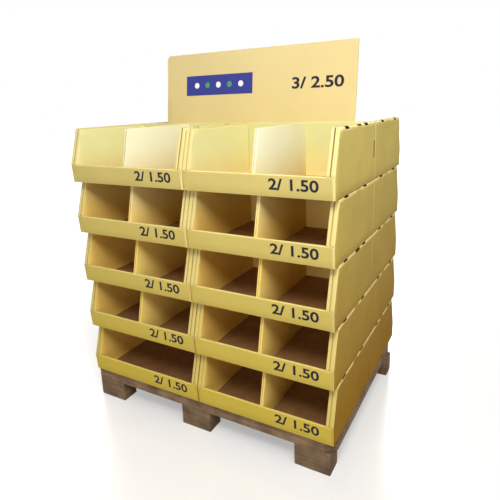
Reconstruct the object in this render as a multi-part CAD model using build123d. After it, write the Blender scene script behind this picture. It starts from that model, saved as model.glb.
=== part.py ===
"""Two-sided cardboard display stand: open-front trays stacked on a wooden pallet, with a header board.

Millimetres, +Z up. The origin is on the floor, at the middle of the stand. The front faces -Y.
"""
import os
from build123d import *

# Stack of trays: two columns, a front row and a rear row back to back, five tiers
column_names = ("left", "right")
tiers = 5
column_gap = 4.0
tiers_without_front_left_divider = (1,)

# Corrugated board of the trays and dividers
board = 4.0
fold_bevel = 6.0

# Tray, measured from the foot of its lip
tray_width = 598.0
tray_depth = 450.0
tray_height = 228.0
lip_height = 77.0
lip_lean = 5.0
lip_layer_gap = 1.0
lip_end_gap = 2.0
wall_setback = 42.0
outer_turn_in = 15.0
slit_width = 4.0
inner_turn_in = 11.0
inner_panel_gap = 3.0

# Slots along the top outer fold of each side wall
slot_length = 28.0
slot_drop = 13.0
slot_reach = 11.0
slot_from_front = 113.0
slot_from_back = 116.0

# Loose divider, folded over at its top, with its front edges turned in
divider_turn_in = 5.5
divider_slit = 3.0
divider_end_clearance = 0.5
divider_top_clearance = 2.0

# Header board, standing on the pallet between the two rows
header_board = 7.0
header_clearance = 0.5
header_left = -427.0
header_right = 518.0
header_rise = 315.0
header_lean = 37.0
header_left_radius = 22.0
header_right_radius = 4.0

# Wooden pallet, forward of the stack's middle
pallet_forward = 36.0
pallet_width = 1200.0
pallet_depth = 820.0
deck_boards = 6
deck_thickness = 22.0
deck_gap = 10.0
rail_thickness = 30.0
rail_width = 100.0
cross_rail_width = 140.0
foot_width = 148.0
foot_depth = 80.0
foot_height = 92.0
middle_foot_offset = -31.0
front_right_foot_inset = 16.0
rear_foot_overhang = 12.0
broken_corner = 42.0

# Worked out from the sizes above
lip_thickness = 2 * board + lip_layer_gap
wall_width = outer_turn_in + slit_width + inner_turn_in
divider_width = 2 * divider_turn_in + divider_slit
row_gap = header_board + 2 * header_clearance
rail_top = foot_height + rail_thickness
deck_top = rail_top + deck_thickness
stack_top = deck_top + tiers * tray_height
column_pitch = tray_width + column_gap
row_front = row_gap / 2 + tray_depth
pallet_side = pallet_width / 2
pallet_front = -pallet_forward - pallet_depth / 2
pallet_rear = pallet_depth / 2 - pallet_forward


def solid_along_x(section, left, right):
    """Extrudes a section drawn in the YZ plane from one X to another."""
    return Pos(left, 0, 0) * extrude(section, right - left, dir=(1, 0, 0))


def outline(points):
    """A closed face in the YZ plane through (y, z) points."""
    return Plane.YZ * make_face(Polyline(*points, close=True))


def lean_at(height):
    """How far the lip's face has come forward at a height above the tray's underside."""
    return lip_lean * height / lip_height


def lip():
    """The front lip: one panel up, rolled over at the top and down again inside, leaning forward."""
    crown = lip_thickness / 2
    shoulder = lip_height - crown
    outer_foot = (0, 0)
    outer_shoulder = (-lean_at(shoulder), shoulder)
    top = (crown - lean_at(shoulder), lip_height)
    inner_shoulder = (lip_thickness - lean_at(shoulder), shoulder)
    inner_foot = (lip_thickness, 0)
    edge = [
        Line(outer_foot, outer_shoulder),
        ThreePointArc(outer_shoulder, top, inner_shoulder),
        Polyline(inner_shoulder, inner_foot, outer_foot),
    ]
    end = tray_width / 2 - board - lip_end_gap
    rolled = solid_along_x(Plane.YZ * make_face(edge), -end, end)
    layer_gap = outline([
        (board - lean_at(board), board),
        (board - lean_at(shoulder), shoulder),
        (board - lean_at(shoulder) + lip_layer_gap, shoulder),
        (board - lean_at(board) + lip_layer_gap, board),
    ])
    return rolled - solid_along_x(layer_gap, -end, end)


def front_slit(slope_foot, slope_top, top, reach):
    """A thin slanted slab's outline, along a front edge from the lip's top up, for cutting a slit."""
    return outline([
        (slope_foot - reach, lip_height),
        (slope_foot + reach, lip_height),
        (slope_top + reach, top),
        (slope_top - reach, top),
    ])


def side_wall():
    """The right-hand side wall: a hollow folded tube, its slanted front edges turned in to a slit."""
    outside = tray_width / 2
    inside = outside - wall_width
    flank = outline([
        (0, 0),
        (-lip_lean, lip_height),
        (wall_setback, tray_height),
        (tray_depth, tray_height),
        (tray_depth, 0),
    ])
    tube = solid_along_x(flank, inside, outside)
    ledge_edges = tube.edges().filter_by(Axis.Y).group_by(Axis.Z)[-1]
    tube = chamfer(ledge_edges, fold_bevel)
    hollow = offset(flank, -board, kind=Kind.INTERSECTION)
    tube -= solid_along_x(hollow, inside + board, outside - board)

    lip_room = outline([
        (-lip_lean - board, board),
        (lip_thickness - lean_at(board), board),
        (lip_thickness - lip_lean, lip_height),
        (-lip_lean - board, lip_height),
    ])
    tube -= solid_along_x(lip_room, inside, outside - board)
    slit = front_slit(-lip_lean, wall_setback, tray_height, 2 * board)
    tube -= solid_along_x(slit, inside + inner_turn_in, outside - outer_turn_in)

    back_gap = Box(
        board, inner_panel_gap, tray_height - 2 * board, align=(Align.MIN, Align.MAX, Align.MIN)
    )
    tube -= Pos(inside, tray_depth - board, board) * back_gap

    slot = Box(slot_reach, slot_length, slot_drop, align=(Align.MAX, Align.CENTER, Align.MAX))
    for place in (slot_from_front, tray_depth - slot_from_back):
        tube -= Pos(outside, place, tray_height) * slot
    return tube


def tray():
    """One open-front tray, folded from a single sheet: floor, back, lip and two hollow side walls."""
    floor = Box(tray_width, tray_depth, board, align=(Align.CENTER, Align.MIN, Align.MIN))
    back = Box(tray_width, board, tray_height, align=(Align.CENTER, Align.MAX, Align.MIN))
    right_wall = side_wall()
    left_wall = mirror(right_wall, about=Plane.YZ)
    return floor + Pos(0, tray_depth, 0) * back + right_wall + left_wall + lip()


def divider():
    """The loose divider: two panels folded over at the top, with a slit between their front edges."""
    front_foot = lip_thickness - lean_at(board) + divider_end_clearance
    front_knee = lip_thickness - lip_lean + divider_end_clearance
    back_end = tray_depth - board - divider_end_clearance
    height = tray_height - divider_top_clearance
    panel = outline([
        (front_foot, board),
        (front_knee, lip_height),
        (wall_setback, height),
        (back_end, height),
        (back_end, board),
    ])
    folded = solid_along_x(panel, -divider_width / 2, divider_width / 2)
    between = solid_along_x(panel, board - divider_width / 2, divider_width / 2 - board)
    slit = front_slit(front_knee, wall_setback, height - board, 2 * board)
    folded -= Pos(0, board, -board) * between
    return folded - solid_along_x(slit, -divider_slit / 2, divider_slit / 2)


def header():
    """The header board: upright between the rows, creased above the trays and leaning back from there."""
    crease = stack_top
    half = header_board / 2
    section = outline([
        (-half, deck_top),
        (half, deck_top),
        (half, crease),
        (half + header_lean, crease + header_rise),
        (header_lean - half, crease + header_rise),
        (-half, crease),
    ])
    sheet = solid_along_x(section, header_left, header_right)
    for corner, radius in ((0, header_left_radius), (-1, header_right_radius)):
        top_corners = sheet.edges().filter_by(Axis.Y).group_by(Axis.Z)[-1].sort_by(Axis.X)
        sheet = fillet(top_corners[corner], radius)
    return sheet


def broken(timber):
    """A timber with its upright edge at the pallet's front right corner broken off at 45 degrees."""
    corner = [
        edge for edge in timber.edges().filter_by(Axis.Z)
        if edge.center().X > pallet_side - broken_corner and edge.center().Y < pallet_front + broken_corner
    ]
    return chamfer(corner, broken_corner) if corner else timber


def pallet_pieces():
    """The pallet as named solids: feet, rails, cross rails between them, and deck boards on top."""
    pieces = {}
    on_floor = (Align.CENTER, Align.CENTER, Align.MIN)
    rail_columns = {
        "left": cross_rail_width / 2 - pallet_side,
        "middle": middle_foot_offset,
        "right": pallet_side - cross_rail_width / 2,
    }
    rows = (
        ("front", pallet_front, 1, -pallet_side, pallet_side - front_right_foot_inset),
        ("rear", pallet_rear, -1, -pallet_side - rear_foot_overhang, pallet_side + rear_foot_overhang),
    )
    for row, end, inward, left_end, right_end in rows:
        foot_columns = {
            "left": left_end + foot_width / 2,
            "middle": middle_foot_offset,
            "right": right_end - foot_width / 2,
        }
        for column, x in foot_columns.items():
            foot = Box(foot_width, foot_depth, foot_height, align=on_floor)
            pieces[f"pallet_foot_{row}_{column}"] = Pos(x, end + inward * foot_depth / 2, 0) * foot
        rail = Box(pallet_width, rail_width, rail_thickness, align=on_floor)
        place = Pos(0, end + inward * rail_width / 2, foot_height)
        pieces[f"pallet_rail_{row}"] = broken(place * rail)
    for column, x in rail_columns.items():
        cross_rail = Box(cross_rail_width, pallet_depth - 2 * rail_width, rail_thickness, align=on_floor)
        pieces[f"pallet_cross_rail_{column}"] = Pos(x, -pallet_forward, foot_height) * cross_rail
    deck_width = (pallet_depth - (deck_boards - 1) * deck_gap) / deck_boards
    for number in range(deck_boards):
        y = pallet_front + (number + 0.5) * deck_width + number * deck_gap
        deck_board = Box(pallet_width, deck_width, deck_thickness, align=on_floor)
        pieces[f"pallet_deck_board_{number + 1}"] = broken(Pos(0, y, rail_top) * deck_board)
    return pieces


def stand_pieces():
    """Every piece of the stand by name, in its place."""
    pieces = pallet_pieces()
    pieces["header_board"] = header()
    one_tray = tray()
    one_divider = divider()
    for tier in range(1, tiers + 1):
        floor_height = deck_top + (tier - 1) * tray_height
        for column, name in enumerate(column_names):
            x = (column - (len(column_names) - 1) / 2) * column_pitch
            front = Pos(x, -row_front, floor_height)
            rear = Pos(x, row_front, floor_height) * Rot(0, 0, 180)
            pieces[f"tray_front_{name}_{tier}"] = front * one_tray
            pieces[f"tray_rear_{name}_{tier}"] = rear * one_tray
            if name == "left" and tier in tiers_without_front_left_divider:
                continue
            pieces[f"divider_front_{name}_{tier}"] = front * one_divider
    return pieces


os.makedirs("parts", exist_ok=True)
for node, solid in stand_pieces().items():
    export_step(solid, f"parts/{node}.step")
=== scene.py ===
# %% [markdown]
# # A two-sided cardboard display stand
# Twenty folded trays stand on a wooden pallet, two wide, two deep and five high, and a printed
# board stands up between the two rows. The imported CAD gives every piece its true size and place.
# This lesson dresses it: each piece is a copy of its solid, merged into whole panels, rounded at
# its folds and given its own print, bare card or timber, and the trays and the header are bowed a
# little as card bows. Copying is quicker than folding each tray up again from a plane, and it keeps
# every seam and slit where the model has it.

# %% Load the imported stand
import math
import random

import bpy
from mathutils import Matrix, Vector, noise


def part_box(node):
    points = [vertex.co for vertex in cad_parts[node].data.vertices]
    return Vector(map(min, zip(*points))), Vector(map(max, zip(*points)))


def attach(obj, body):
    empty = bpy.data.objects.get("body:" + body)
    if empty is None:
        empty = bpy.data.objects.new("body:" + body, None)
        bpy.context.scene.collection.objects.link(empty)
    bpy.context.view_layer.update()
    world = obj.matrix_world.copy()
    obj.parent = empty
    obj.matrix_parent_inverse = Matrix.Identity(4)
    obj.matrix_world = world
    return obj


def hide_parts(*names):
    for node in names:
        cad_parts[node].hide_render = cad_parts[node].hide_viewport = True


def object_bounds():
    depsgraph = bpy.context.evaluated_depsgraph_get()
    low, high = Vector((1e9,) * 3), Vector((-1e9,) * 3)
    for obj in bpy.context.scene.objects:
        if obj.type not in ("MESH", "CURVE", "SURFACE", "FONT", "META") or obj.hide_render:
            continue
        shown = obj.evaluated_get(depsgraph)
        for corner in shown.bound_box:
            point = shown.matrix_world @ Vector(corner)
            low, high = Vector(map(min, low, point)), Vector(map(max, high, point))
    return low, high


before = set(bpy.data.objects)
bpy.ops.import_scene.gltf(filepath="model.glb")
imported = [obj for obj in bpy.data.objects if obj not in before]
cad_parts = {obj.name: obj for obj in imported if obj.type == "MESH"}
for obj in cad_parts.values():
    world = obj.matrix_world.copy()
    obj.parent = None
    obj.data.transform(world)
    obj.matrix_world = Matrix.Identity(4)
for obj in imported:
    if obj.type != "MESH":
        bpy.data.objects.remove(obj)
cad_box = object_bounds()
MM = 0.001
stand_size = cad_box[1] - cad_box[0]
print("stand is", [round(side, 3) for side in stand_size], "m with", len(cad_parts), "nodes")

# %% [markdown]
# ## Camera
# The photograph was taken from the stand's right front corner, a little above its trays, with the
# camera tipped down and rolled slightly. The numbers come from matching the tray corners. The
# photograph was cropped off its optical centre, so the lens is shifted by as much, and turning the
# camera instead would bend the uprights.

# %% Camera
PICTURE_SIZE = 500
FOCAL_LENGTH_PX = 457.9
OPTICAL_CENTRE_PX = (262.8, 216.1)
CAMERA_HEADING = math.radians(28.73)
CAMERA_TIP = math.radians(-13.76)
CAMERA_ROLL = math.radians(1.82)
LEVEL_GAZE = math.radians(90)
camera_place = Vector((1077.1, -1805.8, 1362.5)) * MM
camera_turn = (
    Matrix.Rotation(CAMERA_HEADING, 4, "Z")
    @ Matrix.Rotation(CAMERA_TIP, 4, "X")
    @ Matrix.Rotation(CAMERA_ROLL, 4, "Y")
    @ Matrix.Rotation(LEVEL_GAZE, 4, "X")
)
lens = bpy.data.cameras.new("camera")
lens.sensor_width = 36.0
lens.lens = lens.sensor_width * FOCAL_LENGTH_PX / PICTURE_SIZE
lens.shift_x = 0.5 - OPTICAL_CENTRE_PX[0] / PICTURE_SIZE
lens.shift_y = OPTICAL_CENTRE_PX[1] / PICTURE_SIZE - 0.5
camera = bpy.data.objects.new("camera", lens)
camera.matrix_world = Matrix.Translation(camera_place) @ camera_turn
bpy.context.scene.collection.objects.link(camera)
bpy.context.scene.camera = camera
print("lens", round(lens.lens, 2), "mm")

# %% [markdown]
# ## Tools for the materials
# Colours are written as sRGB hex values, as a designer reads them off a swatch, and one function
# turns them into the linear values that shaders work in. One more function adds a node, with its
# settings and its links, so that each material below reads as a list of what its surface is made
# of.

# %% Tools for the materials
def linear(swatch):
    """An sRGB hex swatch as the linear colour that a shader reads."""
    channels = [int(swatch[place:place + 2], 16) / 255 for place in (0, 2, 4)]
    return [c / 12.92 if c <= 0.04045 else ((c + 0.055) / 1.055) ** 2.4 for c in channels] + [1.0]


def add(tree, kind, inputs=None, **settings):
    """Adds a node. Inputs give each socket, by name or number, a value or another node's output."""
    made = tree.nodes.new(kind)
    for name, value in settings.items():
        setattr(made, name, value)
    for socket, value in (inputs or {}).items():
        if isinstance(value, bpy.types.NodeSocket):
            tree.links.new(value, made.inputs[socket])
        else:
            made.inputs[socket].default_value = value
    return made


def new_material(name):
    """An empty material with its tree and its surface shader."""
    material = bpy.data.materials.new(name)
    material.use_nodes = True
    tree = material.node_tree
    return material, tree, tree.nodes["Principled BSDF"]


print("a swatch of FFFFFF is", linear("FFFFFF"))

# %% [markdown]
# ## Card
# The trays are corrugated board: a waved paper core between two smooth kraft liners, with a yellow
# print on the outer one. Up close the print is cloudy, the flutes of the core show through as faint
# ribs, and the paper's fibres give a fine tooth. The trays low in the stack are drawn a deeper,
# browner yellow than the top ones, which is painted shade and painted warm light for the dimmer
# light low in the stack. A picture would give all that only for one sheet, so it is drawn with noise
# and waves on Object coordinates, and every tray gets its own clouds.

# %% Card
FLUTE_PITCH = 7 * MM
CLOUD_SIZE = 160 * MM
# Paper fibres are finer than a tenth of this. They are drawn as coarse as it takes for the tooth to show.
FIBRE_SIZE = 1.6 * MM
# A wave node's bands repeat every tau / 20 at a scale of 1.
FLUTE_SCALE = math.tau / 20 / FLUTE_PITCH
TOOTH_DEPTH = 0.2 * MM
TOOTH_STRENGTH = 0.15
SEEN_FROM_FRONT = 0.7
CARD_IOR = 1.45
CARD_SHEEN = 0.02


def card(name, deep, pale, fade, roughness, cloud=0.10, cloud_size=CLOUD_SIZE, rib=0.035):
    """Card whose liner goes from a deep to a pale colour between the two heights of its fade, in metres,
    painting light and shade by height.
    """
    material, tree, surface = new_material(name)
    place = add(tree, "ShaderNodeTexCoord").outputs["Object"]
    along = add(tree, "ShaderNodeSeparateXYZ", {0: place}).outputs
    rise = add(tree, "ShaderNodeMapRange", {"Value": along["Z"], "From Min": fade[0], "From Max": fade[1]})
    ink = add(tree, "ShaderNodeMix", {"Factor": rise.outputs[0], "A": linear(deep), "B": linear(pale)},
              data_type="RGBA")
    clouds = add(tree, "ShaderNodeTexNoise", {"Vector": place, "Scale": 1 / cloud_size, "Detail": 4.0})
    fibres = add(tree, "ShaderNodeTexNoise", {"Vector": place, "Scale": 1 / FIBRE_SIZE, "Detail": 2.0})
    normal = add(tree, "ShaderNodeNewGeometry").outputs["True Normal"]
    facing = add(tree, "ShaderNodeSeparateXYZ", {0: normal})
    frontward = add(tree, "ShaderNodeMath", {0: facing.outputs["Y"]}, operation="ABSOLUTE")
    on_front = add(tree, "ShaderNodeMath", {0: frontward.outputs[0], 1: SEEN_FROM_FRONT},
                   operation="GREATER_THAN")
    across = add(tree, "ShaderNodeMix", {"Factor": on_front.outputs[0], "A": along["Y"], "B": along["X"]})
    flutes = add(tree, "ShaderNodeCombineXYZ", {"X": across.outputs["Result"]})
    ribs = add(tree, "ShaderNodeTexWave", {"Vector": flutes.outputs[0], "Scale": FLUTE_SCALE},
               bands_direction="X", wave_profile="SIN")
    mottle = add(tree, "ShaderNodeMath", {0: clouds.outputs[0], 1: -0.5}, operation="ADD")
    mottle = add(tree, "ShaderNodeMath", {0: mottle.outputs[0], 1: cloud}, operation="MULTIPLY")
    ribbing = add(tree, "ShaderNodeMath", {0: ribs.outputs["Fac"], 1: rib}, operation="MULTIPLY")
    shade = add(tree, "ShaderNodeMath", {0: mottle.outputs[0], 1: ribbing.outputs[0]}, operation="SUBTRACT")
    bright = add(tree, "ShaderNodeMath", {0: shade.outputs[0], 1: 1.0}, operation="ADD")
    colour = add(tree, "ShaderNodeVectorMath", {0: ink.outputs["Result"]}, operation="SCALE")
    tree.links.new(bright.outputs[0], colour.inputs["Scale"])
    tree.links.new(colour.outputs[0], surface.inputs["Base Color"])
    tooth = add(tree, "ShaderNodeMath", {0: fibres.outputs[0], 1: ribs.outputs["Fac"]}, operation="ADD")
    bump = add(tree, "ShaderNodeBump", {"Height": tooth.outputs[0], "Strength": TOOTH_STRENGTH,
                                        "Distance": TOOTH_DEPTH})
    tree.links.new(bump.outputs[0], surface.inputs["Normal"])
    surface.inputs["Roughness"].default_value = roughness
    surface.inputs["IOR"].default_value = CARD_IOR
    surface.inputs["Specular IOR Level"].default_value = CARD_SHEEN
    return material


print("flutes every", round(FLUTE_PITCH / MM, 1), "mm")

# %% [markdown]
# ## Printed finishes
# The print is a matt water-based ink, laid on the liner before the sheets are cut and folded. The
# outside of a tray, its inside and its back wall come from different parts of the sheet, and the
# dividers and the header are other sheets, so each is a shade of its own. On the trays and dividers
# each also fades with height, and that fade is painted light and shade. One picture for all would
# repeat, and each finish here costs one line.

# %% Printed finishes
# The stack and bin fades paint light and shade into the colour by height.
STACK_PAINTED_SHADING = (0.20, 1.25)
BIN_PAINTED_SHADING = (0.90, 1.20)
HEADER_FADE = (1.30, 1.60)

# Water-based yellow ink on a smooth liner: an even, matt face with only the faintest ribs, a more saturated
# yellow low in the stack as painted warm light
lip_print = card("lip_print", "D6BF4F", "CFBF79", STACK_PAINTED_SHADING, 0.55)
# The same ink on the large outer panels, handled and faded: cloudier; browner and darker near the floor is
# painted shade
side_print_and_shade = card("side_print_and_shade", "B2851F", "E7D478", STACK_PAINTED_SHADING, 0.55, cloud=0.3)
# Thinly inked inner liner: a drier face, painted warm low in the stack for the bounced light in the shaded
# bins, and nearly cream as painted light in the open top bins
inner_print_and_light = card("inner_print_and_light", "F2CB68", "EAE6A4", BIN_PAINTED_SHADING, 0.6)
# The inked liner of the back wall: painted brighter low as light, and duller at the top as painted shade
# where the lamps meet it squarely
back_print_and_light = card("back_print_and_light", "FFDC84", "D4CE90", BIN_PAINTED_SHADING, 0.6)
# White-lined board with a thin yellow wash: the dividers are the palest card on the stand, painted warmer
# yellow low in the stack as bounced light
pale_board_and_light = card("pale_board_and_light", "F2D374", "E9E6C2", BIN_PAINTED_SHADING, 0.6)
# Heavy board with a smooth coated liner: a calmer, creamier print with a slight sheen
header_print = card("header_print", "D7C285", "D8C58D", HEADER_FADE, 0.5, cloud=0.06)
print("printed finishes:", [material.name for material in bpy.data.materials if material.use_nodes])

# %% [markdown]
# ## Bare and worn card
# Where there is no print, the brown kraft paper shows, and where the print is creased or rubbed, it
# goes pale. The pale folds also carry a painted highlight, and the slots and slits carry painted
# shade. The wear could be painted along every fold by hand. It always sits at the same folds and
# edges, so it is a set of finishes instead, given to narrow bands of faces.

# %% Bare and worn card
SPECKLE_SIZE = 40 * MM
RUB_SIZE = 60 * MM
SLIT_PAINTED_SHADE = (0.95, 1.25)

# Unprinted kraft liner, soiled by goods: dull, blotchy brown on the floors and inside the tubes, darker low
# in the stack as painted shade
bare_kraft = card("bare_kraft", "8C6843", "AC8252", STACK_PAINTED_SHADING, 0.85, cloud=0.5, cloud_size=SPECKLE_SIZE)
# Kraft cut through at a slot, painted dark as the shade inside it: reads as a small dark hole
slot_painted_shade = card("slot_painted_shade", "4A3420", "5A4028", STACK_PAINTED_SHADING, 0.85)
# Print cracked along a crease, with the white liner showing: a broken, bright line, brightened further by a
# painted highlight, most low in the stack
fold_wear_and_highlight = card("fold_wear_and_highlight", "FBE88C", "F7E49A", STACK_PAINTED_SHADING, 0.7, cloud=0.5, cloud_size=RUB_SIZE)
# Print rubbed thin at the back corners: a slightly paler upright strip, browner low in the stack as painted
# shade
rubbed_corner = card("rubbed_corner", "B0822A", "EEDA84", STACK_PAINTED_SHADING, 0.6)
# Print stretched over a turned edge: lighter and flatter than the panel beside it, darker low in the stack
# as painted shade
turned_edge = card("turned_edge", "D0BB66", "DDD08F", STACK_PAINTED_SHADING, 0.6)
# Raw kraft deep in a slit, painted darker as the shade in it, darkest in the top tier: a thin brown line
shaded_slit = card("shaded_slit", "BCA05A", "7A5A30", SLIT_PAINTED_SHADE, 0.85)
# Knife-cut edge of the board, with pale torn fibres: dry and light, darker low in the stack as painted
# shade
cut_edge = card("cut_edge", "D2B455", "F6E7A4", STACK_PAINTED_SHADING, 0.8)
print("bare and worn:", bare_kraft.name, slot_painted_shade.name, fold_wear_and_highlight.name, rubbed_corner.name,
      turned_edge.name, shaded_slit.name, cut_edge.name)

# %% [markdown]
# ## Sawn timber
# The pallet is rough-sawn softwood gone grey brown with use. Its grain runs along each timber, so
# the same noise is stretched along X or along Y. Darker streaks are the late wood, and a broad
# noise gives the dirt of handling. A wave texture could give rings, but they are too even for
# weathered wood.

# %% Sawn timber
# Growth rings are about half as wide. They are drawn as coarse as it takes for the grain to show.
GRAIN_WIDTH = 5 * MM
GRAIN_LENGTH = 160 * MM
DIRT_SIZE = 90 * MM
LATE_WOOD_TO = 0.3
EARLY_WOOD_FROM = 0.72
DIRTY_TO = 0.35
CLEAN_FROM = 0.6
SAW_MARK_DEPTH = 1.0 * MM
SAW_MARK_STRENGTH = 0.5


def timber(name, along, late_wood, early_wood):
    """Rough-sawn softwood, with its grain along one axis and its streaks between two colours."""
    material, tree, surface = new_material(name)
    place = add(tree, "ShaderNodeTexCoord").outputs["Object"]
    stretch = [1 / GRAIN_LENGTH if axis == along else 1 / GRAIN_WIDTH for axis in "XYZ"]
    grain_place = add(tree, "ShaderNodeMapping", {"Vector": place, "Scale": stretch})
    grain = add(tree, "ShaderNodeTexNoise", {"Vector": grain_place.outputs[0], "Scale": 1.0, "Detail": 5.0,
                                             "Roughness": 0.6, "Distortion": 0.4})
    dirt = add(tree, "ShaderNodeTexNoise", {"Vector": place, "Scale": 1 / DIRT_SIZE, "Detail": 6.0})
    wood = add(tree, "ShaderNodeValToRGB", {"Fac": grain.outputs[0]})
    wood.color_ramp.elements[0].position = LATE_WOOD_TO
    wood.color_ramp.elements[0].color = linear(late_wood)
    wood.color_ramp.elements[1].position = EARLY_WOOD_FROM
    wood.color_ramp.elements[1].color = linear(early_wood)
    soil = add(tree, "ShaderNodeValToRGB", {"Fac": dirt.outputs[0]})
    soil.color_ramp.elements[0].position = DIRTY_TO
    soil.color_ramp.elements[0].color = linear("B9B0A6")
    soil.color_ramp.elements[1].position = CLEAN_FROM
    soil.color_ramp.elements[1].color = linear("FFFFFF")
    colour = add(tree, "ShaderNodeMix", {"Factor": 1.0, "A": wood.outputs[0], "B": soil.outputs[0]},
                 data_type="RGBA", blend_type="MULTIPLY")
    tree.links.new(colour.outputs["Result"], surface.inputs["Base Color"])
    bump = add(tree, "ShaderNodeBump", {"Height": grain.outputs[0], "Strength": SAW_MARK_STRENGTH,
                                        "Distance": SAW_MARK_DEPTH})
    tree.links.new(bump.outputs[0], surface.inputs["Normal"])
    surface.inputs["Roughness"].default_value = 0.85
    surface.inputs["IOR"].default_value = 1.5
    return material


timber_of = {
    # Sawn pine blocks that stand on the floor: the greyest and dirtiest wood, with no shine
    "foot": timber("soiled_block", "X", "5C4A33", "94795A"),
    # Sawn pine boards: warmer than the blocks and lighter, partly as painted light against the lips'
    # shadow, with streaks along their length
    "rail": timber("sawn_rail", "X", "705840", "A28566"),
    "cross_rail": timber("sawn_cross_rail", "Y", "705840", "A28566"),
    "deck_board": timber("sawn_deck_board", "X", "705840", "A28566"),
}
print("timber finishes:", [material.name for material in timber_of.values()])

# %% [markdown]
# ## Inks
# The print on the lips and the header is flat ink: charcoal for the numbers, and an indigo field
# with pale and green shapes on it. Ink on a liner is smooth and a little glossier than the card,
# with the faintest unevenness where it soaked in. A flat colour would do from afar, and a fine
# noise keeps it from looking like plastic up close.

# %% Inks
INK_IOR = 1.5
INK_SHEEN = 0.1


def ink(name, swatch, roughness=0.45):
    """A flat printing ink, a little uneven as it soaked into the liner."""
    material, tree, surface = new_material(name)
    place = add(tree, "ShaderNodeTexCoord").outputs["Object"]
    soak = add(tree, "ShaderNodeTexNoise", {"Vector": place, "Scale": 1 / FIBRE_SIZE, "Detail": 2.0})
    strength = add(tree, "ShaderNodeMapRange", {"Value": soak.outputs[0], "To Min": 0.85, "To Max": 1.15})
    colour = add(tree, "ShaderNodeVectorMath", {0: linear(swatch)[:3]}, operation="SCALE")
    tree.links.new(strength.outputs[0], colour.inputs["Scale"])
    tree.links.new(colour.outputs[0], surface.inputs["Base Color"])
    surface.inputs["Roughness"].default_value = roughness
    surface.inputs["IOR"].default_value = INK_IOR
    surface.inputs["Specular IOR Level"].default_value = INK_SHEEN
    return material


# Carbon black with a little violet: crisp numbers that never go quite black
charcoal_ink = ink("charcoal_ink", "2C2734")
# A dense violet blue laid on solid: the one cold, dark field on the stand
indigo_ink = ink("indigo_ink", "3A3F88")
# Opaque off-white: soft discs that stay a shade below paper white
pale_ink = ink("pale_ink", "EDEBE2")
# A greyed leaf green: discs that sit back into the field
green_ink = ink("green_ink", "4E8F6A")
print("inks:", charcoal_ink.name, indigo_ink.name, pale_ink.name, green_ink.name)

# %% [markdown]
# ## Tools for the pieces
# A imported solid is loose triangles. A copy is merged, its flat triangles are dissolved into whole
# panels, and its sharp edges are bevelled. Cutting the panels into a grid afterwards gives the
# points that a bow needs. Bisecting puts the cuts at even places whatever the panel's outline,
# which subdividing wouldn't.

# %% Tools for the pieces
MERGE_DISTANCE = 0.01 * MM
FLAT_ANGLE = math.radians(1)
SHARP_ANGLE = math.radians(30)
SHORTEST_ROUNDED_EDGE = 3 * MM


def take(piece):
    """Selects one piece, makes it the active one and lets everything else go."""
    bpy.ops.object.select_all(action="DESELECT")
    piece.select_set(True)
    bpy.context.view_layer.objects.active = piece


def new_piece(name, mesh):
    """A piece at the origin with its own mesh."""
    mesh.name = name
    piece = bpy.data.objects.new(name, mesh)
    bpy.context.scene.collection.objects.link(piece)
    return piece


def whole_panels(node, name):
    """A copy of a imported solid, its loose triangles merged into whole panels."""
    piece = new_piece(name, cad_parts[node].data.copy())
    piece.data.materials.clear()
    take(piece)
    bpy.ops.object.mode_set(mode="EDIT")
    bpy.ops.mesh.select_all(action="SELECT")
    bpy.ops.mesh.remove_doubles(threshold=MERGE_DISTANCE)
    bpy.ops.mesh.customdata_custom_splitnormals_clear()
    bpy.ops.mesh.dissolve_limited(angle_limit=FLAT_ANGLE)
    bpy.ops.object.mode_set(mode="OBJECT")
    return piece


def cut_across(place, direction):
    """Cuts every face of the piece in edit mode where a plane crosses it."""
    bpy.ops.mesh.select_all(action="SELECT")
    bpy.ops.mesh.bisect(plane_co=place, plane_no=direction)


def cut_grid(piece, spacing):
    """Cuts a piece into a grid of about the given spacing along X, Y and Z, so that it can bow."""
    take(piece)
    corners = [Vector(corner) for corner in piece.bound_box]
    low, high = corners[0], corners[6]
    bpy.ops.object.mode_set(mode="EDIT")
    for axis in range(3):
        direction = Vector((axis == 0, axis == 1, axis == 2))
        cuts = int((high - low)[axis] / spacing)
        for cut in range(1, cuts + 1):
            cut_across(low + (high - low) * cut / (cuts + 1), direction)
    bpy.ops.object.mode_set(mode="OBJECT")


def round_edges(piece, width, segments=2):
    """Bevels a piece's sharp edges, leaving out the short ones of its curves."""
    take(piece)
    points = piece.data.vertices
    bpy.ops.object.mode_set(mode="EDIT")
    bpy.ops.mesh.select_mode(type="EDGE")
    bpy.ops.mesh.select_all(action="DESELECT")
    bpy.ops.mesh.edges_select_sharp(sharpness=SHARP_ANGLE)
    bpy.ops.object.mode_set(mode="OBJECT")
    for edge in piece.data.edges:
        start, end = (points[number].co for number in edge.vertices)
        edge.select = edge.select and (end - start).length > SHORTEST_ROUNDED_EDGE
    bpy.ops.object.mode_set(mode="EDIT")
    bpy.ops.mesh.bevel(offset=width, segments=segments, affect="EDGES", clamp_overlap=False)
    bpy.ops.mesh.select_mode(type="VERT")
    bpy.ops.object.mode_set(mode="OBJECT")


print("edges over", round(math.degrees(SHARP_ANGLE)), "degrees are rounded")

# %% [markdown]
# ## Finishing and handing over
# A finish is given face by face, by where the face lies and which way it faces, as a hand would
# pick out the folds with a brush. A finished piece then rides on the stand's one body and hides the
# solid that it stands for, which stays as it was packed.

# %% Finishing and handing over
def finish_faces(piece, finishes, finish_of):
    """Gives each face the finish that a function names from its middle and the way it faces."""
    for finish in finishes.values():
        piece.data.materials.append(finish)
    order = list(finishes)
    for face in piece.data.polygons:
        face.material_index = order.index(finish_of(face.center, face.normal))


def shade(piece):
    """Smooths the rounded edges and keeps the panels flat."""
    take(piece)
    bpy.ops.object.shade_smooth_by_angle(angle=SHARP_ANGLE)


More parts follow.
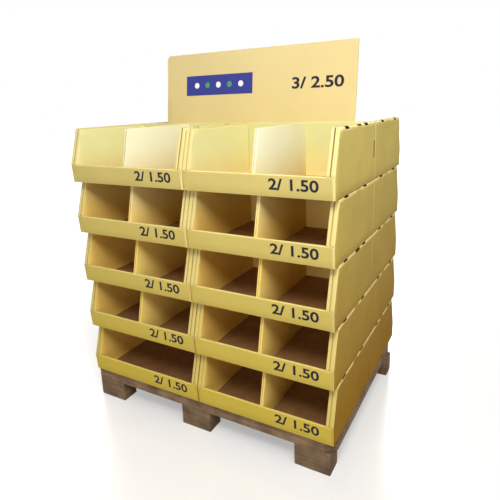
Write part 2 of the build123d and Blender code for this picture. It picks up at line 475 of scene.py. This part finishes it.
def hand_over(piece, slot, *nodes):
    """Lets a finished piece ride on the stand and hides the solids it stands for. Its slot is not used."""
    shade(piece)
    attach(piece, "root")
    if nodes:
        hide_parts(*nodes)


print("pieces will ride on root")

# %% [markdown]
# ## One tray
# A tray is one sheet: a floor, a back, a lip rolled over on itself, and two side walls folded into
# hollow tubes whose front edges turn in to a slit. All twenty are the same tray, so it is dressed
# once, in its own frame with the foot of its lip at the origin, and copied. Its sizes are read from
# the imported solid.

# %% One tray
TRAY_BOARD = 4 * MM
TRAY_LIP_HEIGHT = 77 * MM
TRAY_LIP_LEAN = 5 * MM

model_low, model_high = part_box("tray_front_left_1")
tray_width = model_high.x - model_low.x
tray_height = model_high.z - model_low.z
tray_depth = model_high.y - model_low.y - TRAY_LIP_LEAN
half_width = tray_width / 2


def tray_foot(node):
    """The middle of the foot of a tray's lip, and whether the tray faces the rear."""
    low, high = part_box(node)
    rear = low.y > 0
    lip_foot = high.y - TRAY_LIP_LEAN if rear else low.y + TRAY_LIP_LEAN
    return Vector(((low.x + high.x) / 2, lip_foot, low.z)), rear


tray_model = whole_panels("tray_front_left_1", "tray_model")
tray_model.data.transform(Matrix.Translation(-tray_foot("tray_front_left_1")[0]))
print("a tray is", [round(side, 3) for side in (tray_width, tray_depth, tray_height)], "m")

# %% [markdown]
# ## Slots along the top fold
# Two slots are cut through the top fold of each side wall, as if for tabs of the tray above. On the
# real trays they are longer and shallower than in the solids. Cutting them again would leave the old
# ones, so the corners of each slot are moved: its ends outwards and its bottom up.

# %% Slots along the top fold
TRAY_SLOT_LENGTH = 28 * MM
TRAY_SLOT_DROP = 13 * MM
SLOT_FROM_FRONT = 113 * MM
SLOT_FROM_BACK = 116 * MM
SLOT_LENGTHENED = 6 * MM
SLOT_RAISED = 4 * MM
NEARLY = 0.1 * MM

slot_bottom = tray_height - TRAY_SLOT_DROP
moved_corners = 0
for point in tray_model.data.vertices:
    for slot_middle in (SLOT_FROM_FRONT, tray_depth - SLOT_FROM_BACK):
        along = point.co.y - slot_middle
        at_end = abs(abs(along) - TRAY_SLOT_LENGTH / 2) <= NEARLY
        if not at_end or point.co.z < slot_bottom - NEARLY:
            continue
        point.co.y += math.copysign(SLOT_LENGTHENED, along)
        if point.co.z < slot_bottom + NEARLY:
            point.co.z += SLOT_RAISED
        moved_corners += 1
        break
print("slot corners moved:", moved_corners)

# %% [markdown]
# ## Lines where the finish changes
# A face has one finish, so a pale band needs an edge of its own. The tray is cut across at the ends
# of the plain stretch of its top fold, under the pale band below that fold, which is rubbed print
# with a painted highlight, beside its back corners and its lip's right end, and above and below the
# dark patch that one corner has. A mask in the material could do the same, but faces keep each
# finish plain.

# %% Lines where the finish changes
TRAY_FOLD = 6 * MM
PALE_BAND_BELOW_FOLD = 8 * MM
WORN_CORNER = 14 * MM
PLAIN_FOLD_FROM = 225 * MM
PLAIN_FOLD_TO = 275 * MM
RUBBED_LIP_END = 9 * MM
DARK_PATCH_FROM = 89 * MM
DARK_PATCH_TO = 155 * MM
pale_band_from = tray_height - TRAY_FOLD - PALE_BAND_BELOW_FOLD

bpy.ops.object.mode_set(mode="EDIT")
for distance in (PLAIN_FOLD_FROM, PLAIN_FOLD_TO, tray_depth - WORN_CORNER):
    cut_across((0, distance, 0), (0, 1, 0))
for height in (DARK_PATCH_FROM, DARK_PATCH_TO, pale_band_from):
    cut_across((0, 0, height), (0, 0, 1))
cut_across((half_width - RUBBED_LIP_END, 0, 0), (1, 0, 0))
bpy.ops.object.mode_set(mode="OBJECT")
print("the cut tray has", len(tray_model.data.polygons), "faces")

# %% [markdown]
# ## Finishes of a tray
# The floor and the inside of the tubes are bare kraft, and the slots are painted dark as the shade
# inside them. The top folds are pale but for a stretch in the middle, and so is the band below them:
# rubbed print with a painted highlight of the light from above. The lip's crown and the turned front
# edges are lighter than the panels, the lip's right end shows the cut edge, and the back corners are
# rubbed. The rest is printed. Picking these faces by hand would have to be done again after any
# change, and a rule by place and direction follows the shape.

# %% Finishes of a tray
TRAY_WALL = 30 * MM
TRAY_SETBACK = 42 * MM
TRAY_SLOT_REACH = 11 * MM
BEHIND_SLOTS = 5 * MM
CROWN_DEPTH = 12 * MM
CROWN_HEIGHT = 4.6 * MM
BIN_FROM = 5 * MM
SQUARE_ON = 0.9
SLANTING = 0.3
FOLD_ROUNDING = 0.6 * MM
panel_inside = 0.9 * TRAY_BOARD
above_floor = 1.5 * TRAY_BOARD
tray_finishes = {
    "lip": lip_print, "side": side_print_and_shade, "inside": inner_print_and_light, "kraft": bare_kraft, "slot": slot_painted_shade,
    "fold": fold_wear_and_highlight, "corner": rubbed_corner, "turned": turned_edge, "edge": cut_edge, "back": back_print_and_light,
}


def tray_finish(middle, normal):
    """A tray face's finish, by its place and the way it faces."""
    from_side = half_width - abs(middle.x)
    outermost = from_side < NEARLY
    above_lip = middle.z > TRAY_LIP_HEIGHT
    faces_front = normal.y < -SQUARE_ON
    in_tube = panel_inside < from_side < TRAY_WALL - panel_inside
    at_slot = from_side < TRAY_SLOT_REACH + MM and TRAY_SETBACK + MM < middle.y < tray_depth - BEHIND_SLOTS
    in_slot = at_slot and slot_bottom - MM < middle.z < tray_height - MM
    if normal.z > SQUARE_ON and middle.z < above_floor:
        return "kraft"
    # Slot faces are painted dark, as the shade inside the slot.
    if in_slot and max(abs(normal.y), normal.z) > SQUARE_ON:
        return "slot"
    if in_tube and abs(normal.x) > SQUARE_ON:
        return "kraft"
    at_fold = abs(normal.x) > SLANTING and normal.z > SLANTING and from_side < TRAY_FOLD
    # The fold and the band below it are rubbed print with a painted highlight of the light from above.
    if at_fold or outermost and middle.z > pale_band_from:
        return "side" if PLAIN_FOLD_FROM < middle.y < PLAIN_FOLD_TO else "fold"
    if abs(middle.y) < CROWN_DEPTH and middle.z > TRAY_LIP_HEIGHT - CROWN_HEIGHT and normal.z > SLANTING:
        return "turned"
    if above_lip and faces_front and from_side < TRAY_WALL and middle.y < TRAY_SETBACK:
        return "turned"
    if middle.x > half_width - RUBBED_LIP_END and faces_front and not above_lip:
        return "edge"
    if outermost and middle.y > tray_depth - WORN_CORNER:
        return "corner"
    if outermost or normal.y > SQUARE_ON and middle.y > tray_depth - MM:
        return "side"
    if middle.y > tray_depth - 2 * TRAY_BOARD and faces_front and from_side > TRAY_WALL - MM:
        return "back"
    if middle.y > BIN_FROM and from_side > TRAY_WALL - MM:
        return "inside"
    return "lip"


finish_faces(tray_model, tray_finishes, tray_finish)
round_edges(tray_model, FOLD_ROUNDING)
print("a tray has", len(tray_finishes), "finishes")

# %% [markdown]
# ## Strips behind the slits
# The turned-in front edges of a side wall nearly meet, and the next layer of card shows between
# them, as it does between the lip's end and the wall. The solid is empty there and would show a
# black line. A narrow strip of card, a cube drawn out along the slit, is joined to the tray just
# behind each one.

# %% Strips behind the slits
TRAY_SLIT_MIDDLE = 282 * MM
TRAY_SLIT_WIDTH = 4 * MM
TRAY_LIP_END = 294 * MM
TRAY_LIP_END_GAP = 2 * MM
SLIT_DEPTH = 2.2 * MM
LIP_END_DEPTH = 0.8 * MM
LIP_END_INSET = 0.2 * MM
LIP_END_DROP = 2.5 * MM
STRIP_THICKNESS = 1 * MM
STRIP_OVERLAP = 1.1
CARD_GRID = 38 * MM


def front_edge(height):
    """A point on a side wall's slanting front edge, at a height above the lip."""
    rise = (height - TRAY_LIP_HEIGHT) / (tray_height - TRAY_LIP_HEIGHT)
    return Vector((0, (TRAY_SETBACK + TRAY_LIP_LEAN) * rise - TRAY_LIP_LEAN, height))


def add_strip(piece, middle, foot, top, gap, depth, finish):
    """Joins a narrow strip of card to a piece, behind a gap in its front that runs from foot to top."""
    bpy.ops.object.select_all(action="DESELECT")
    bpy.ops.mesh.primitive_cube_add(size=1)
    strip = bpy.context.object
    for point in strip.data.vertices:
        end = top if point.co.z > 0 else foot
        back = depth + (point.co.y + 0.5) * STRIP_THICKNESS
        point.co = Vector((middle + point.co.x * STRIP_OVERLAP * gap, end.y + back, end.z))
    strip.data.materials.append(finish)
    take(piece)
    strip.select_set(True)
    bpy.ops.object.join()


slit_foot = front_edge(TRAY_LIP_HEIGHT + MM)
slit_top = front_edge(tray_height - MM)
lip_foot = Vector((0, 0, MM))
lip_top = Vector((0, LIP_END_INSET - TRAY_LIP_LEAN, TRAY_LIP_HEIGHT - LIP_END_DROP))
# On the right, the strip behind the slit is painted dark as the slit's shade.
for side, slit_finish, end_finish in ((-1, lip_print, lip_print), (1, shaded_slit, cut_edge)):
    slit_middle, lip_end = side * TRAY_SLIT_MIDDLE, side * TRAY_LIP_END
    add_strip(tray_model, slit_middle, slit_foot, slit_top, TRAY_SLIT_WIDTH, SLIT_DEPTH, slit_finish)
    add_strip(tray_model, lip_end, lip_foot, lip_top, TRAY_LIP_END_GAP, LIP_END_DEPTH, end_finish)
cut_grid(tray_model, CARD_GRID)
print("one tray has", len(tray_model.data.polygons), "faces")

# %% [markdown]
# ## How the card bows
# Card is never quite flat. A lip is drawn in a little on both sides of its divider, which props it,
# the outer panels are drawn in at the middle, and the free outer end of the back springs out
# towards the tray behind. A lattice could bend each tray, but sums on its points say plainly how
# far each panel goes.

# %% How the card bows
LIP_BOW = 2.0 * MM
SIDE_BOW = 3.0 * MM
BACK_FLARE = 3.4 * MM
FLARE_FROM = 0.8


def bowed(point, lip_bow, side_bow, back_flare):
    """Where a point of a tray goes when its lip, its outer panels and its back's end bow."""
    moved = point.copy()
    if point.z <= TRAY_LIP_HEIGHT + NEARLY and point.y < 3 * TRAY_BOARD:
        moved.y += lip_bow * math.sin(math.tau * point.x / tray_width) ** 2 * point.z / TRAY_LIP_HEIGHT
    if half_width - abs(point.x) < 1.1 * TRAY_BOARD and 0 < point.y < tray_depth:
        bulge = math.sin(math.pi * point.z / tray_height) * math.sin(math.pi * point.y / tray_depth)
        moved.x -= math.copysign(side_bow * bulge, point.x)
    outward = math.copysign(point.x, point.x * back_flare) / half_width
    if point.y > tray_depth - 2 * TRAY_BOARD and outward > FLARE_FROM:
        moved.y += abs(back_flare) * (outward - FLARE_FROM) / (1 - FLARE_FROM)
    return moved


print("lips bow by up to", round(LIP_BOW / MM, 1), "mm and sides by", round(SIDE_BOW / MM, 1), "mm")

# %% [markdown]
# ## Twenty trays
# Each tray is a copy with bows of its own, drawn by chance from a fixed start so that they are the
# same each time, and the rear trays are turned round. Two trays on the right side have marks that
# show: the middle of the top fold is painted dark on both, as painted shade of a gaping fold, and a
# back corner has a patch of bare kraft at mid-height on one. Faces in a small box take another of
# the tray's finishes there.

# %% Twenty trays
LEAST_BOW = 0.2
LEAST_FLARE = 0.6
DARK_PATCH_DEPTH = 2 * MM
fold_low = tray_height - TRAY_FOLD
tray_marks = (
    # The dark middle of the top fold on two trays is painted shade of a gaping fold.
    ("tray_front_right_3", "slot",
     (half_width - TRAY_FOLD, PLAIN_FOLD_FROM, pale_band_from), (half_width, PLAIN_FOLD_TO, tray_height)),
    ("tray_front_right_5", "slot",
     (half_width - TRAY_FOLD, PLAIN_FOLD_FROM, fold_low), (half_width, PLAIN_FOLD_TO, tray_height)),
    # A patch of bare kraft finish at mid-height on one back corner.
    ("tray_front_right_5", "kraft",
     (half_width - DARK_PATCH_DEPTH, tray_depth - WORN_CORNER, DARK_PATCH_FROM), (half_width, tray_depth, DARK_PATCH_TO)),
)


def mark_faces(tray, finish, low, high):
    """Gives the faces of a tray in the box between two corners another of the tray's finishes."""
    for face in tray.data.polygons:
        if all(a - NEARLY < c < b + NEARLY for a, c, b in zip(low, face.center, high)):
            face.material_index = list(tray_finishes).index(finish)


trays = sorted(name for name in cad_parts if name.startswith("tray_"))
chance = random.Random(11)
bow_of = {}
for node in trays:
    foot, rear = tray_foot(node)
    outer_end = 1 if (foot.x > 0) != rear else -1
    bow_of[node] = (chance.uniform(LEAST_BOW, 1.0) * LIP_BOW, chance.uniform(LEAST_BOW, 1.0) * SIDE_BOW,
                    chance.uniform(LEAST_FLARE, 1.0) * BACK_FLARE * outer_end)
    tray = new_piece(f"folded_{node}", tray_model.data.copy())
    for point in tray.data.vertices:
        point.co = bowed(point.co, *bow_of[node])
    for marked, finish, low, high in tray_marks:
        if marked == node:
            mark_faces(tray, finish, low, high)
    tray.data.transform(Matrix.Translation(foot) @ Matrix.Rotation(math.pi if rear else 0.0, 4, "Z"))
    hand_over(tray, "printed_board", node)
bpy.data.objects.remove(tray_model)
print("trays:", len(trays))

# %% [markdown]
# ## Dividers
# A divider is a paler sheet folded over at its top, standing loose in the middle of a tray. Its
# fold and its two turned-in front edges catch the light, and bare kraft shows between the two
# panels. Each is a copy of its solid with the same rounding and the same kind of strip behind its
# slit as a tray.

# %% Dividers
DIVIDER_HALF_GAP = 5 * MM
DIVIDER_KNEE = 4.5 * MM
DIVIDER_SLIT_WIDTH = 3 * MM
SHOULDER_FORWARD = 1.5 * MM
SHOULDER_DROP = 7 * MM
divider_finishes = {"pale": pale_board_and_light, "kraft": bare_kraft, "fold": fold_wear_and_highlight}


def divider_finish(middle, normal):
    """A divider face's finish: bare between its panels and pale elsewhere."""
    from_centre = abs(middle.x - divider_middle)
    if abs(normal.x) > SQUARE_ON and from_centre < DIVIDER_HALF_GAP:
        return "kraft"
    return "fold" if normal.z > SQUARE_ON else "pale"


dividers = sorted(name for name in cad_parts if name.startswith("divider_"))
for node in dividers:
    low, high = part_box(node)
    divider_middle = (low.x + high.x) / 2
    divider = whole_panels(node, f"folded_{node}")
    finish_faces(divider, divider_finishes, divider_finish)
    round_edges(divider, FOLD_ROUNDING)
    foot = tray_foot(node.replace("divider", "tray"))[0]
    knee = foot + Vector((0, DIVIDER_KNEE, TRAY_LIP_HEIGHT))
    shoulder = foot + Vector((0, TRAY_SETBACK - SHOULDER_FORWARD, tray_height - SHOULDER_DROP))
    add_strip(divider, divider_middle, knee, shoulder, DIVIDER_SLIT_WIDTH, SLIT_DEPTH, pale_board_and_light)
    hand_over(divider, "divider_board", node)
print("dividers:", len(dividers))

# %% [markdown]
# ## Header board
# The header is one sheet of heavier board with a lighter print, creased where it leaves the trays
# and leaning back from there. Standing free, it warps: its upper corners curl and its middle
# ripples by a few millimetres. A cloth run could warp it, but two sine waves are enough, and the
# print laid on it can follow them.

# %% Header board
HEADER_THICKNESS = 7 * MM
HEADER_WARP = 4.0 * MM
RIPPLE_ACROSS = 2.6 * math.pi
RIPPLE_START = 0.6
CURL_UP = 0.8 * math.pi
CURL_START = 0.4
header_low, header_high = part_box("header_board")
stack_top = max(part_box(node)[1].z for node in trays)
header_lean = (header_high.y - header_low.y) - HEADER_THICKNESS


def header_warp(point):
    """Where a point of the header goes when the free board above the trays warps."""
    moved = point.copy()
    rise = (point.z - stack_top) / (header_high.z - stack_top)
    if rise > 0:
        across = (point.x - header_low.x) / (header_high.x - header_low.x)
        ripple = math.sin(RIPPLE_ACROSS * across + RIPPLE_START)
        moved.y += HEADER_WARP * rise * ripple * math.sin(CURL_UP * rise + CURL_START)
    return moved


def header_finish(middle, normal):
    """A header face's finish: cut edge all round and print on its two faces."""
    return "print" if abs(normal.y) > SQUARE_ON else "edge"


header = whole_panels("header_board", "printed_header")
finish_faces(header, {"print": header_print, "edge": cut_edge}, header_finish)
round_edges(header, FOLD_ROUNDING)
cut_grid(header, CARD_GRID)
for point in header.data.vertices:
    point.co = header_warp(point.co)
hand_over(header, "header_board", "header_board")
print("header rises", round(header_high.z - stack_top, 3), "m above the trays")

# %% [markdown]
# ## Numbers on the lips
# Each front lip has a number printed near its right end. A number is a text object with a hair of
# thickness, made a mesh, scaled to the place that the print fills, and laid on the leaning card,
# with the same bow as the card under it. Half its thickness lies in the card, so nothing floats. An
# image texture would blur up close.

# %% Numbers on the lips
INK_THICKNESS = 0.8 * MM
INK_SPREAD = 0.025
LIP_NUMBER = "2/ 1.50"
LIP_NUMBER_LEFT = 61 * MM
LIP_NUMBER_RIGHT = 243 * MM
LIP_NUMBER_FOOT = 24 * MM
LIP_NUMBER_TOP = 64 * MM


def flat_number(name, words, left, right, foot, top):
    """A number as a thin mesh standing in the XZ plane and facing -Y, filling the given place."""
    bpy.ops.object.select_all(action="DESELECT")
    bpy.ops.object.text_add()
    text = bpy.context.object
    text.data.body = words
    text.data.extrude = INK_THICKNESS / 2
    text.data.offset = INK_SPREAD
    bpy.ops.object.convert(target="MESH")
    number = bpy.context.object
    number.name = name
    corners = [Vector(corner) for corner in number.bound_box]
    low, high = corners[0], corners[6]
    wide, tall = (right - left) / (high.x - low.x), (top - foot) / (high.y - low.y)
    number.data.transform(Matrix.Translation((-low.x, -low.y, 0)))
    number.data.transform(Matrix.Diagonal((wide, tall, 1, 1)))
    number.data.transform(Matrix.Rotation(math.radians(90), 4, "X"))
    number.data.transform(Matrix.Translation((left, 0, foot)))
    number.data.materials.append(charcoal_ink)
    return number


def lip_face(point):
    """A flat point laid on a lip's leaning face."""
    return Vector((point.x, point.y - TRAY_LIP_LEAN * point.z / TRAY_LIP_HEIGHT, point.z))


front_trays = [node for node in trays if "_front_" in node]
number_model = flat_number("number_model", LIP_NUMBER, LIP_NUMBER_LEFT, LIP_NUMBER_RIGHT,
                           LIP_NUMBER_FOOT, LIP_NUMBER_TOP)
for node in front_trays:
    number = new_piece(node.replace("tray", "number"), number_model.data.copy())
    for point in number.data.vertices:
        point.co = bowed(lip_face(point.co), *bow_of[node])
    number.data.transform(Matrix.Translation(tray_foot(node)[0]))
    hand_over(number, "printed_board")
bpy.data.objects.remove(number_model)
print("numbers on lips:", len(front_trays))

# %% [markdown]
# ## Number on the header
# The header has one larger number on its right half. It is made as those on the lips are, and then
# leant back and warped by the header's own function, so that it lies on the board wherever the
# board goes.

# %% Number on the header
HEADER_NUMBER = "3/ 2.50"
HEADER_NUMBER_LEFT = 239 * MM
HEADER_NUMBER_RIGHT = 466 * MM
HEADER_NUMBER_FOOT = 136 * MM
HEADER_NUMBER_TOP = 183 * MM


def header_face(point):
    """A flat point, measured up from the crease, laid on the header's leaning front."""
    lean = header_lean * point.z / (header_high.z - stack_top)
    return Vector((point.x, point.y + lean + header_low.y, point.z + stack_top))


header_number = flat_number("header_number", HEADER_NUMBER, HEADER_NUMBER_LEFT, HEADER_NUMBER_RIGHT,
                            HEADER_NUMBER_FOOT, HEADER_NUMBER_TOP)
for point in header_number.data.vertices:
    point.co = header_warp(header_face(point.co))
hand_over(header_number, "header_board")
print("header number is", round((HEADER_NUMBER_RIGHT - HEADER_NUMBER_LEFT) / MM), "mm wide")

# %% [markdown]
# ## Printed panel
# The header's panel is a plain indigo field with a row of plain discs. The field is a thin slab cut
# into a grid, so that it follows the warped board, and the discs lie on it. Faces of the board
# itself could be inked instead, but its grid doesn't run along the panel's edges.

# %% Printed panel
PANEL_LEFT = -312 * MM
PANEL_RIGHT = 49 * MM
PANEL_FOOT = 126 * MM
PANEL_TOP = 215 * MM
PANEL_CUTS = 12
DISC_COUNT = 5
DISC_RADIUS = 13 * MM
DISC_SIDES = 40

panel_middle = Vector(((PANEL_LEFT + PANEL_RIGHT) / 2, 0, (PANEL_FOOT + PANEL_TOP) / 2))
panel_size = Vector((PANEL_RIGHT - PANEL_LEFT, INK_THICKNESS, PANEL_TOP - PANEL_FOOT))
bpy.ops.object.select_all(action="DESELECT")
bpy.ops.mesh.primitive_cube_add(size=1, location=panel_middle, scale=panel_size)
panel = bpy.context.object
panel.name = "header_panel"
bpy.ops.object.transform_apply(location=True, rotation=True, scale=True)
panel.data.materials.append(indigo_ink)
cut_grid(panel, panel_size.x / PANEL_CUTS)
for point in panel.data.vertices:
    point.co = header_warp(header_face(point.co))
hand_over(panel, "header_board")

for number in range(DISC_COUNT):
    share = (number + 1) / (DISC_COUNT + 1)
    place = Vector((PANEL_LEFT + panel_size.x * share, -INK_THICKNESS / 2, panel_middle.z))
    bpy.ops.object.select_all(action="DESELECT")
    bpy.ops.mesh.primitive_cylinder_add(vertices=DISC_SIDES, radius=DISC_RADIUS, depth=INK_THICKNESS,
                                        location=place, rotation=(math.radians(90), 0, 0))
    disc = bpy.context.object
    disc.name = f"panel_disc_{number + 1}"
    bpy.ops.object.transform_apply(location=True, rotation=True, scale=True)
    disc.data.materials.append(green_ink if number % 2 else pale_ink)
    for point in disc.data.vertices:
        point.co = header_warp(header_face(point.co))
    hand_over(disc, "header_board")
print("panel", [round(side, 3) for side in panel_size], "with", DISC_COUNT, "discs")

# %% [markdown]
# ## Pallet
# The pallet's timbers are sawn square and worn by forks and floors: their edges are broken and
# their faces are a little uneven. Each is a bevelled copy, cut into a grid, with its points nudged
# by a noise that is a function of their place, so it is the same each time. A Displace modifier
# needs a texture of its own, and this says in one line how far a face may go.

# %% Pallet
TIMBER_ROUNDING = 3 * MM
TIMBER_GRID = 45 * MM
TIMBER_UNEVEN = 1.2 * MM
UNEVEN_SIZE = 60 * MM
# The noise is drawn inwards by this much, so that hardly a point leaves the solid.
MOSTLY_INWARD = 0.8

timbers = sorted(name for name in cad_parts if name.startswith("pallet_"))
for node in timbers:
    piece = whole_panels(node, node.replace("pallet", "sawn"))
    kind = max((kind for kind in timber_of if kind in node), key=len)
    piece.data.materials.append(timber_of[kind])
    round_edges(piece, TIMBER_ROUNDING, segments=3)
    cut_grid(piece, TIMBER_GRID)
    for point in piece.data.vertices:
        rough = noise.noise(point.co / UNEVEN_SIZE) - MOSTLY_INWARD
        point.co += point.normal * rough * TIMBER_UNEVEN / 2
    hand_over(piece, "pallet_wood", node)
print("timbers:", len(timbers))

# %% [markdown]
# ## Floor
# The floor is a smooth white sheet. To the camera it is white, with the stand's soft shadow and a
# blurred, fading reflection close to the feet, and it goes over into plain white further out. The
# light that it throws back up is that of a brown shop floor. Light Path tells these rays apart,
# which a lit white plane couldn't do without more light on the stand.

# %% Floor
FLOOR_REACH = 40.0
SHADOW_NEAR = 0.9
SHADOW_FAR = 2.6
NEAR_GLOW = 0.37


def seen_rays(tree):
    """One for the rays that show the background: the camera's, the glossy and the transmitted ones."""
    rays = add(tree, "ShaderNodeLightPath")
    seen = add(tree, "ShaderNodeMath", {0: rays.outputs["Is Camera Ray"], 1: rays.outputs["Is Glossy Ray"]},
               operation="MAXIMUM")
    seen = add(tree, "ShaderNodeMath", {0: seen.outputs[0], 1: rays.outputs["Is Transmission Ray"]},
               operation="MAXIMUM")
    return seen.outputs[0]


bpy.ops.object.select_all(action="DESELECT")
bpy.ops.mesh.primitive_plane_add(size=FLOOR_REACH, location=(0, 0, 0))
floor = bpy.context.object
floor.name = "floor"
# Polished white sheet: smooth enough for a soft, blurred reflection close to what stands on it
white_floor, tree, surface = new_material("white_floor")
place = add(tree, "ShaderNodeTexCoord").outputs["Object"]
distance = add(tree, "ShaderNodeVectorMath", {0: place}, operation="LENGTH")
far = add(tree, "ShaderNodeMapRange", {"Value": distance.outputs["Value"], "From Min": SHADOW_NEAR,
                                       "From Max": SHADOW_FAR}, interpolation_type="SMOOTHSTEP")
seen = seen_rays(tree)
near_tone = add(tree, "ShaderNodeMix", {"Factor": far.outputs[0], "A": linear("C8C6C2"),
                                        "B": linear("000000")}, data_type="RGBA")
tone = add(tree, "ShaderNodeMix", {"Factor": seen, "A": linear("7A6248"), "B": near_tone.outputs["Result"]},
           data_type="RGBA")
glow = add(tree, "ShaderNodeMapRange", {"Value": far.outputs[0], "To Min": NEAR_GLOW, "To Max": 1.0})
glow = add(tree, "ShaderNodeMath", {0: glow.outputs[0], 1: seen}, operation="MULTIPLY")
tree.links.new(tone.outputs["Result"], surface.inputs["Base Color"])
tree.links.new(glow.outputs[0], surface.inputs["Emission Strength"])
surface.inputs["Emission Color"].default_value = linear("FFFFFF")
surface.inputs["Roughness"].default_value = 0.22
surface.inputs["IOR"].default_value = 2.0
floor.data.materials.append(white_floor)
print("floor", floor.name, FLOOR_REACH, "m")

# %% [markdown]
# ## Light
# The photograph was lit from above and in front, from beside the camera. A small key lamp high in
# front shines down into the bins, a broad lamp low in front reaches their backs and evens out the
# lips, and a broad lamp over the right front corner fills the open top bins. Two more light the
# rear and the left side, which the photograph doesn't show. The world adds a little light from
# everywhere, and is white to the camera.

# %% Light
WORLD_LEVEL = 0.10


def lamp(name, place, target, size, power):
    """A square lamp of a size in metres and a power in watts at a place, facing a target."""
    light = bpy.data.lights.new(name, "AREA")
    light.shape = "SQUARE"
    light.size = size
    light.energy = power
    hung = bpy.data.objects.new(name, light)
    hung.location = place
    hung.rotation_euler = (Vector(target) - Vector(place)).to_track_quat("-Z", "Y").to_euler()
    bpy.context.scene.collection.objects.link(hung)


lamp("key_lamp", (1.0, -1.9, 2.6), (0, -0.4, 0.7), 0.8, 44)
lamp("front_fill", (0.4, -4.0, 1.3), (0, 0, 0.7), 2.4, 45)
lamp("top_lamp", (2.3, -1.3, 4.0), (0.0, -0.2, 1.1), 2.2, 88)
lamp("rear_fill", (-0.8, 3.8, 2.4), (0, 0, 0.8), 2.4, 80)
lamp("left_fill", (-4.0, 0.6, 2.0), (0, 0, 0.8), 2.4, 60)

world = bpy.data.worlds.new("studio")
bpy.context.scene.world = world
world.use_nodes = True
tree = world.node_tree
level = add(tree, "ShaderNodeMapRange", {"Value": seen_rays(tree), "To Min": WORLD_LEVEL, "To Max": 1.0})
tree.nodes["Background"].inputs["Color"].default_value = linear("FFFFFF")
tree.links.new(level.outputs[0], tree.nodes["Background"].inputs["Strength"])
bpy.context.scene.view_settings.view_transform = "Standard"
print("lamps:", [light.name for light in bpy.data.lights])
